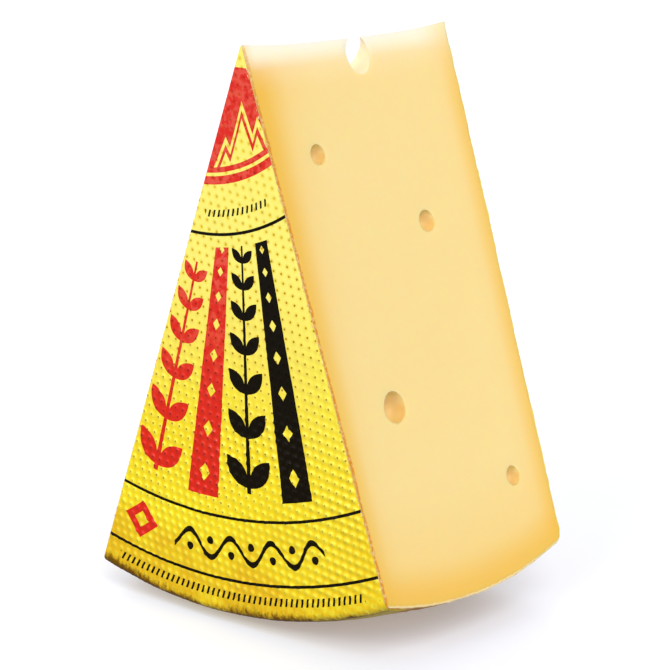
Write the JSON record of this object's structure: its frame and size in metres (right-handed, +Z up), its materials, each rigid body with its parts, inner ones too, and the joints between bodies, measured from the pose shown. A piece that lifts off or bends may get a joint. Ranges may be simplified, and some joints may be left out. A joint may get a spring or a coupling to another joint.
{
  "type": "cheese wedge",
  "caption": "Wedge of hard cheese cut from a low round wheel, standing tip up on its bulging rim, with small round eyes, a thin rind and an embossed foil label on its flat front face.",
  "frame": {"origin": "middle of the whole part's underside, on the surface that it rests on", "axes": "+Z up from the rim to the tip edge, +Y back through the wheel's thickness from the label's face, +X to the right along the label"},
  "size_m": [0.1048, 0.085, 0.1587],
  "materials": {
    "cheese_paste": "smooth pale yellow cheese, waxy and slightly translucent, darker towards the rind",
    "label_foil": "yellow printed foil, satin, pressed all over with small dots"
  },
  "bodies": {
    "root": {"cheese": "cheese_paste", "label": "label_foil"}
  },
  "joints": []
}
